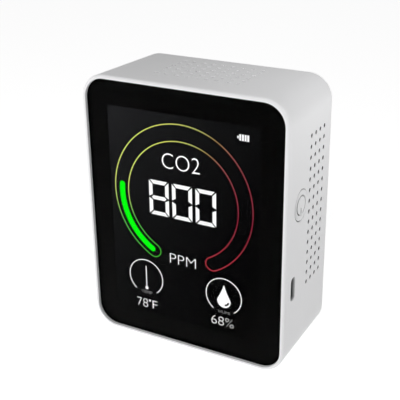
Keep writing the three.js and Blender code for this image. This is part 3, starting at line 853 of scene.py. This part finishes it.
def gauge_outline():
    """The scale's outline, whose outer line is a little wider, and centred higher."""
    start, line = GAUGE_START - GAUGE_SWEEP, 0.25
    band = outline("gauge_outline", GAUGE_X, GAUGE_Z, GAUGE_MID_R, GAUGE_HALF, line, start,
                   GAUGE_SWEEP)
    middle = picture_at(GAUGE_X, GAUGE_Z)
    foot = middle - Vector((0, 0, (GAUGE_MID_R + GAUGE_HALF) * MM))
    editing(band, "VERT")
    pick(band, "verts", lambda v: (v.co - middle).length > GAUGE_MID_R * MM)
    bpy.ops.transform.resize(value=(1.009, 1, 1.016), center_override=foot)
    done()
    return band


def level_bar():
    """The green bar that fills the scale's start, with round ends."""
    radius, width, start, end = 22.4, 2, 174.7, 239.1
    bar = arc("level_bar", GAUGE_X, GAUGE_Z, radius, width, start, end - start)
    for degrees in (start, end):
        turn = math.radians(degrees)
        x, z = GAUGE_X + radius * math.cos(turn), GAUGE_Z + radius * math.sin(turn)
        combine(bar, dot("end", width / 2, x, z), "UNION")
    return bar


def patch(name, left, right, low, high):
    """A lit rectangle between sides measured from the middle of the lit area."""
    depth = (PICTURE_DEPTH, PICTURE_DEPTH + PICTURE_THICKNESS)
    across = (PICTURE_X + left, PICTURE_X + right)
    return box(name, across, depth, (PICTURE_Z + low, PICTURE_Z + high))


DIGIT = {"width": 7.3, "height": 12.1, "stroke": 1.3, "gap": 0.25}


def mitred(bar, axis, sign, amount):
    """Shortens one long edge of a segment at each end: the one on the sign's side across
    the axis (0 for a level segment)."""
    across = 2 if axis == 0 else 0
    spots = [v.co[across] for v in bar.data.vertices]
    edge = max(spots) if sign > 0 else min(spots)
    middle = sum((v.co for v in bar.data.vertices), Vector()) / len(bar.data.vertices)
    ends = [v.co[axis] for v in bar.data.vertices]
    length = max(ends) - min(ends)
    factors = [1, 1, 1]
    factors[axis] = 1 - 2 * amount * MM / length
    editing(bar, "VERT")
    pick(bar, "verts", lambda v: abs(v.co[across] - edge) < 0.01 * MM)
    bpy.ops.transform.resize(value=factors, center_override=middle)
    done()
    return bar


def upright(name, x, z, side, end):
    """Half of a digit's side: mitred at the digit's corner, slanted where it meets the
    middle. side is -1 for the left and 1 for the right, end is 1 for the upper half."""
    w, h, t, g = DIGIT["width"] / 2, DIGIT["height"] / 2, DIGIT["stroke"], DIGIT["gap"]
    low, high = sorted((z + end * g, z + end * (h - g)))
    left, right = sorted((x + side * (w - t), x + side * w))
    bar = patch(name, left, right, low, high)
    inner = PICTURE_X + x + side * (w - t)
    for far, shift in ((True, -end * t), (False, end * t * 0.55)):
        target = PICTURE_Z + (z + end * (h - g) if far else z + end * g)
        editing(bar, "VERT")
        pick(
            bar,
            "verts",
            lambda v: abs(v.co.x - inner * MM) < 0.02 * MM
            and abs(v.co.z - target * MM) < 0.02 * MM,
        )
        bpy.ops.transform.translate(value=(0, 0, shift * MM))
        done()
    return bar


def level(name, x, z, end):
    """A digit's top or bottom segment (end 1 or -1), or its pointed middle one (end 0)."""
    w, h, t, g = DIGIT["width"] / 2, DIGIT["height"] / 2, DIGIT["stroke"], DIGIT["gap"]
    if end:
        low, high = sorted((z + end * (h - t), z + end * h))
        return mitred(patch(name, x - w + 2 * g, x + w - 2 * g, low, high), 0, -end, t - g)
    upper = patch(name, x - w + t / 2 + g, x + w - t / 2 - g, z, z + t / 2)
    lower = patch(name, x - w + t / 2 + g, x + w - t / 2 - g, z - t / 2, z)
    mitred(upper, 0, 1, t / 2)
    mitred(lower, 0, -1, t / 2)
    bar = merged([upper, lower], name)
    editing(bar)
    middle = (PICTURE_Z + z) * MM
    pick(bar, "faces", lambda f: all(abs(v.co.z - middle) < 0.005 * MM for v in f.verts))
    bpy.ops.mesh.delete(type="ONLY_FACE")
    return closed(bar)


def readout():
    """Three seven-segment digits: an eight and two noughts."""
    z, shift, pitch = 7.5, -0.15, 8.55
    bars = []
    for place_in_row in (-1, 0, 1):
        x = place_in_row * pitch + shift
        ends = (-1, 0, 1) if place_in_row == -1 else (-1, 1)
        bars += [level("segment", x, z, end) for end in ends]
        bars += [upright("segment", x, z, side, end) for side in (-1, 1) for end in (-1, 1)]
    return merged(bars, "readout_digits")


def words(name, text, right, above, width, height, thin):
    """A lit word, fitted to a width and a height of its capitals. thin slims its strokes."""
    bpy.ops.object.select_all(action="DESELECT")
    bpy.ops.object.text_add()
    label = bpy.context.object
    label.name = name
    label.data.body = text
    label.data.size = height * MM / 0.73
    label.data.extrude = PICTURE_THICKNESS / 2 * MM
    label.data.offset = -thin * MM
    label.data.resolution_u = 6
    bpy.ops.object.convert(target="MESH")
    only(label)
    label.rotation_euler = (math.pi / 2, 0, 0)
    named(name)
    spots = [v.co.copy() for v in label.data.vertices]
    low = Vector([min(c[i] for c in spots) for i in range(3)])
    high = Vector([max(c[i] for c in spots) for i in range(3)])
    label.location = picture_at(right, above)
    label.scale = (width * MM / (high.x - low.x), 1, height * MM / (high.z - low.z))
    label.data.transform(Matrix.Translation(-(low + high) / 2))
    named(name)
    editing(label)
    bpy.ops.mesh.select_all(action="SELECT")
    return closed(label)


def degree_sign(right, above):
    """A small ring."""
    ring = dot("degree_sign", 0.42, right, above)
    cut(ring, dot("hole", 0.2, right, above, thick=2 * PICTURE_THICKNESS))
    return ring


def drop():
    """The humidity sign: a round drop drawn out to a tip."""
    radius, low, tip, sides = 2.45, -26.7, -18.4, 48
    x, middle = 14.7, low + radius
    spot = picture_at(x, middle)
    shape = dot("humidity_drop", radius, x, middle, sides)
    reach = (tip - middle - radius) * MM
    editing(shape, "VERT")
    for row in range(sides // 4):
        # Each row above the middle is lifted, and pulled in as it nears the tip
        share = math.cos(2 * math.pi * row / sides)
        height = share * radius * MM
        pick(shape, "verts", lambda v: abs(v.co.z - spot.z - height) < 0.01 * MM)
        bpy.ops.transform.translate(value=(0, 0, reach * share**3))
        bpy.ops.transform.resize(value=(1 - 0.72 * share**2.2, 1, 1), center_override=spot)
    done()
    return shape


def icons():
    """The white signs: thermometer, drop, their arcs, and the battery."""
    x, half_width = -14.8, 0.17
    stem = patch("thermometer", x - half_width, x + half_width, -26.6, -18.6)
    combine(stem, dot("bulb", 0.62, x, -26.9), "UNION")
    highlight = arc("highlight", 14.9, -24.2, 1.5, 0.6, -85, 75)
    wet = drop()
    cut(wet, highlight)
    starts = (19.95, 20.82, 21.69, 22.56)
    cell = [patch("battery_bar", x, x + 0.62, 31.8, 33.75) for x in starts]
    cell.append(patch("battery_nub", 19.3, 19.75, 32.4, 33.15))
    return [
        stem,
        wet,
        arc("temperature_arc", -14.9, -22.8, 6.5, 0.26, 270 + 38.7, 360 - 2 * 38.7),
        arc("humidity_arc", 14.6, -22.5, 6.42, 0.26, 270 + 36, 360 - 2 * 36),
        merged(cell, "battery_sign"),
    ]


# The power key and the screws


def key_at(x):
    """A place on the key's axis."""
    return place(x, KEY_DEPTH, KEY_Z)


def power_key():
    """The key's cap, flush with the drafted wall, with its flange and stem behind the wall
    and a ring with a bar sunk in its face."""
    surface = side_x(KEY_DEPTH)
    front, back = KEY_FLANGE["front"], KEY_FLANGE["back"]
    lean = math.atan(SIDE_DRAFT / DEPTH)
    key = rod("power_key", KEY_R, "X", key_at(front - 0.5), key_at(surface), 64)
    editing(key)
    pick(key, "faces", lambda f: f.normal.x > 0.99)
    bpy.ops.mesh.bevel(offset=0.25 * MM, segments=3, affect="EDGES")
    done()
    ring_r, groove, sunk = 3.1, 0.5, 0.3
    disc = rod("ring", ring_r + groove / 2, "X", key_at(surface - sunk), key_at(surface + 1), 48)
    core = rod("core", ring_r - groove / 2, "X", key_at(surface - 2), key_at(surface + 2), 48)
    cut(disc, core)
    gap = box("gap", (surface - 2, surface + 2), (KEY_DEPTH - 0.9, KEY_DEPTH + 0.9),
              (KEY_Z - 5, KEY_Z - 1.5))
    cut(disc, gap)
    width = (KEY_DEPTH - groove / 2, KEY_DEPTH + groove / 2)
    bar = box("bar", (surface - sunk, surface + 1), width, (KEY_Z - ring_r - 0.5, KEY_Z - 0.8))
    cut(key, disc, bar)
    collar = rod("flange", KEY_FLANGE["radius"], "X", key_at(back), key_at(front), 48)
    stem = rod("stem", KEY_STEM["radius"], "X", key_at(KEY_STEM["tip"]), key_at(back + 0.5), 24)
    combine(key, collar, "UNION")
    combine(key, stem, "UNION")
    editing(key, "VERT")
    edge = place(surface - 0.5, 0, 0).x
    pick(key, "verts", lambda v: v.co.x > edge)
    bpy.ops.transform.rotate(value=lean, orient_axis="Z", center_override=key_at(surface))
    done()
    return smooth(key)


def cover_screw(name, x, z):
    """A pan-head screw with a cross recess."""
    seat = DEPTH - 1.2
    head = rod(name, 2.4, "Y", place(x, seat, z), place(x, seat + 1, z), 40)
    editing(head)
    pick(head, "faces", lambda f: f.normal.y > 0.99)
    bpy.ops.mesh.bevel(offset=0.55 * MM, segments=4, affect="EDGES")
    done()
    for across in ((1.25, 0.27), (0.27, 1.25)):
        slot = box("slot", (x - across[0], x + across[0]), (seat + 0.3, seat + 2),
                   (z - across[1], z + across[1]))
        cut(head, slot)
    shank = rod("shank", 1.1, "Y", place(x, seat - 10, z), place(x, seat + 0.2, z), 20)
    editing(shank)
    pick(shank, "faces", lambda f: f.normal.y < -0.99)
    bpy.ops.mesh.inset(thickness=0.6 * MM, depth=0.9 * MM)
    done()
    combine(head, shank, "UNION")
    return smooth(head)


# Putting it together


def fit(piece, material, slot, body, *nodes):
    """A finished piece takes its material, its body and the CAD nodes it stands for."""
    piece.data.materials.clear()
    piece.data.materials.append(material)
    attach(piece, body)
    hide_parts(*nodes)
    return piece


def dress(material, *nodes):
    """A CAD node that is right as it is takes a better material."""
    for node in nodes:
        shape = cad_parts[node]
        shape.data.materials.clear()
        shape.data.materials.append(material)


bpy.ops.object.select_all(action="DESELECT")
white = abs_white()
fit(case_shell(), white, "case_white", "housing", "front_shell")
fit(rear_panel(), white, "case_white", "housing", "rear_cover")
fit(window(), window_acrylic(), "window", "housing", "front_lens")
fit(printed_border(), screen_ink(), "tape", "housing", "front_lens")
fit(display_panel(), display_black(), "display_glass", "housing", "lcd_cell")
fit(power_key(), white, "case_white", "power_key", "power_button")

bright = lit("lit_white", "#ffffff", 1.0)
thin = lit("lit_thin", "#ffffff", 1.15)
faint = lit("lit_faint", "#8a8a8a", 0.8)
SHOWN = [
    (gauge_outline(), lit_gauge()),
    (level_bar(), lit("lit_green", "#00fa04", 1.0)),
    (readout(), bright),
    (words("gas_name", "CO2", -0.4, 20.9, 13.6, 5.2, 0.13), thin),
    (words("gas_unit", "PPM", -0.4, -13.2, 9.7, 3.5, 0.12), thin),
    (words("temperature_value", "78", -16.8, -33.0, 4.3, 3.2, 0.11), thin),
    (degree_sign(-13.8, -31.7), thin),
    (words("temperature_unit", "F", -11.8, -32.9, 1.9, 3.0, 0.08), thin),
    (words("humidity_value", "68%", 14.15, -32.0, 8.1, 3.2, 0.11), thin),
    (words("temperature_name", "TEMP", -14.9, -28.6, 4.4, 1.1, 0.0), faint),
    (words("humidity_name", "HUMI", 14.8, -28.4, 4.2, 1.0, 0.0), faint),
]
for piece, material in SHOWN:
    fit(piece, material, "display_glass", "housing", "lcd_cell")
for piece in icons():
    line = piece.name.endswith("_arc")
    fit(piece, thin if line else bright, "display_glass", "housing", "lcd_cell")

zinc = metal("zinc_plate", "#9fa2a5", "#c3c6c9", 0.3, (0.25, 0.4), (1, 1, 1))
for number, (x, z) in enumerate(BOSSES, 1):
    screw = cover_screw(f"cover_screw_{number}", x, z)
    fit(screw, zinc, "screw_steel", "housing", f"rear_screw_{number}")

tinned = metal("tinned_steel", "#a5a8aa", "#c9cccd", 0.25, (0.28, 0.42))
nylon = textured("natural_nylon", "#e3dcc4", "#ded6bb", 0.4, (0.45, 0.55), 0.15)
black_nylon = textured("glass_filled_nylon", "#1d1d1f", "#232325", 0.3, (0.45, 0.6), 0.2)
epoxy = textured("moulded_epoxy", "#1a1a1c", "#212123", 0.15, (0.55, 0.7), 0.3)
dress(zinc, *(f"board_screw_{number}" for number in range(1, 5)))
dress(tinned, "lcd_frame", "usb_socket_shell", "switch_body")
dress(nylon, "flex_connector", "humidity_sensor", "battery_socket", "battery_plug")
dress(black_nylon, "usb_socket_tongue", "switch_plunger", "co2_header_left")
dress(black_nylon, "co2_header_right")
dress(epoxy, "mcu_chip", "memory_chip", "charger_chip", "regulator_chip")
dress(solder_mask("green_solder_mask", "#0d4a28", "#1d7040"), "main_board")
dress(solder_mask("blue_solder_mask", "#0f2f5c", "#1d4d86"), "co2_board")
dress(metal("gold_plate", "#c79a45", "#e2bd6a", 0.5, (0.22, 0.34), (1, 1, 1)), "co2_chamber")
dress(textured("filter_film", "#efeee8", "#e4e2da", 0.2, (0.85, 0.95), 0.5),
      "co2_membrane_1", "co2_membrane_2")
dress(pouch_foil(), "battery_cell")
dress(textured("closed_foam", "#28282a", "#323234", 0.5, (0.85, 0.95), 0.6),
      "battery_pad", "lens_tape")
dress(textured("red_silicone", "#a81414", "#b81c1a", 0.3, (0.4, 0.5), 0.1), "battery_lead_red")
dress(textured("black_silicone", "#141414", "#1b1b1b", 0.3, (0.4, 0.5), 0.1),
      "battery_lead_black")
dress(textured("sintered_ferrite", "#47484a", "#55575a", 0.2, (0.6, 0.75), 0.4),
      "power_inductor")
dress(polyimide(), "lcd_flex")
dress(textured("milky_acrylic", "#e9ecee", "#e2e6e9", 3, (0.25, 0.35), 0.05), "lcd_backlight")


# Floor, light and camera


def floor():
    """A matt white table that glows, so that its shadows are soft. Under the case the glow
    fades out: painted shade on the case's lower rounds and a faint painted contact shadow.
    """
    bpy.ops.object.select_all(action="DESELECT")
    bpy.ops.mesh.primitive_plane_add(size=8, location=(0, 0, SHELL_LOW[2]))
    ground = named("floor")
    material, surface, where = material_of("pale_floor")
    drift = add(material, "TexNoise", {"Vector": where, "Scale": 3.0, "Detail": 2})
    finished(material, surface, drift.outputs["Fac"], ("#bbbbbb", "#bdbdbd"))
    matt = {"Roughness": 0.9, "Specular IOR Level": 0}
    feed(surface, {**matt, "Emission Color": (1, 1, 1, 1)})
    split = add(material, "SeparateXYZ", {"Vector": where})
    beside = add(material, "Math", (split.outputs["X"],), operation="ABSOLUTE").outputs[0]
    before = add(material, "Math", (split.outputs["Y"],), operation="ABSOLUTE").outputs[0]
    edge_x = add(material, "Math", (beside, WIDTH / 2 * MM), operation="SUBTRACT").outputs[0]
    edge_y = add(material, "Math", (before, DEPTH / 2 * MM), operation="SUBTRACT").outputs[0]
    # Painted shade: the glow fades out between 14 mm and 5 mm inside the case's outline
    clear = add(
        material,
        "MapRange",
        {
            "Value": add(material, "Math", (edge_x, edge_y), operation="MAXIMUM").outputs[0],
            "From Min": -14 * MM,
            "From Max": -5 * MM,
            "To Max": 0.82,
        },
    ).outputs["Result"]
    feed(surface, {"Emission Strength": clear})
    ground.data.materials.append(material)


def lamp(name, at, aim, size, watts):
    """A round soft lamp at a place, turned to another, both in metres."""
    bpy.ops.object.select_all(action="DESELECT")
    bpy.ops.object.light_add(type="AREA", location=at)
    light = bpy.context.object
    light.name = name
    light.data.shape = "DISK"
    light.data.size = size
    light.data.energy = watts
    run = Vector(aim) - Vector(at)
    light.rotation_euler = run.to_track_quat("-Z", "Y").to_euler()


def room():
    """A dim room with a broad bright wall on the left and a paler ceiling."""
    world = bpy.data.worlds.new("room")
    bpy.context.scene.world = world
    world.use_nodes = True
    shade = world.node_tree.nodes["Background"]
    where = add(world, "TexCoord").outputs["Generated"]
    share = []
    for aim, strength in (((-1, 0, 0), 1.2), ((0, 0, 1), 0.2)):
        facing = add(world, "VectorMath", (where, aim), operation="DOT_PRODUCT")
        ahead = add(world, "Math", (facing.outputs["Value"], 0.0), operation="MAXIMUM").outputs[0]
        squared = add(world, "Math", (ahead, 2.0), operation="POWER").outputs[0]
        share.append(add(world, "Math", (squared, strength), operation="MULTIPLY").outputs[0])
    both = add(world, "Math", tuple(share), operation="ADD").outputs[0]
    feed(shade, {"Strength": both, "Color": (1, 1, 1, 1)})


def studio():
    """The room, a wide lamp in front and above, and a small one close on the right."""
    room()
    middle = (0, 0, 0.05)
    lamp("front_lamp", (0, -0.4, 0.35), middle, 0.3, 1.16)
    lamp("side_lamp", (0.10, 0.02, 0.15), middle, 0.04, 0.046)


CAMERA = {
    "azimuth": 29.277,
    "elevation": 23.608,
    "roll": -0.818,
    "distance": 268.3,
    "lens": 77.98,
    "aim": (6.7, 0, MID_Z + 10.17),
}


def camera():
    """A long lens, from the front right and above, rolled by under a degree."""
    turn = math.radians(CAMERA["azimuth"])
    rise = math.radians(CAMERA["elevation"])
    roll = math.radians(CAMERA["roll"])
    back = Vector(
        (math.sin(turn) * math.cos(rise), -math.cos(turn) * math.cos(rise), math.sin(rise))
    )
    level_right = Vector((math.cos(turn), math.sin(turn), 0))
    upward = back.cross(level_right)
    right = level_right * math.cos(roll) + upward * math.sin(roll)
    top = upward * math.cos(roll) - level_right * math.sin(roll)
    bpy.ops.object.select_all(action="DESELECT")
    bpy.ops.object.camera_add()
    view = bpy.context.object
    view.name = "camera"
    target = place(*CAMERA["aim"])
    axes = Matrix((right, top, back)).transposed().to_4x4()
    view.matrix_world = Matrix.Translation(target + back * CAMERA["distance"] * MM) @ axes
    view.data.lens = CAMERA["lens"]
    view.data.sensor_width = 36
    view.data.clip_start = 0.01
    bpy.context.scene.camera = view
    bpy.context.scene.view_settings.view_transform = "Standard"


floor()
studio()
camera()
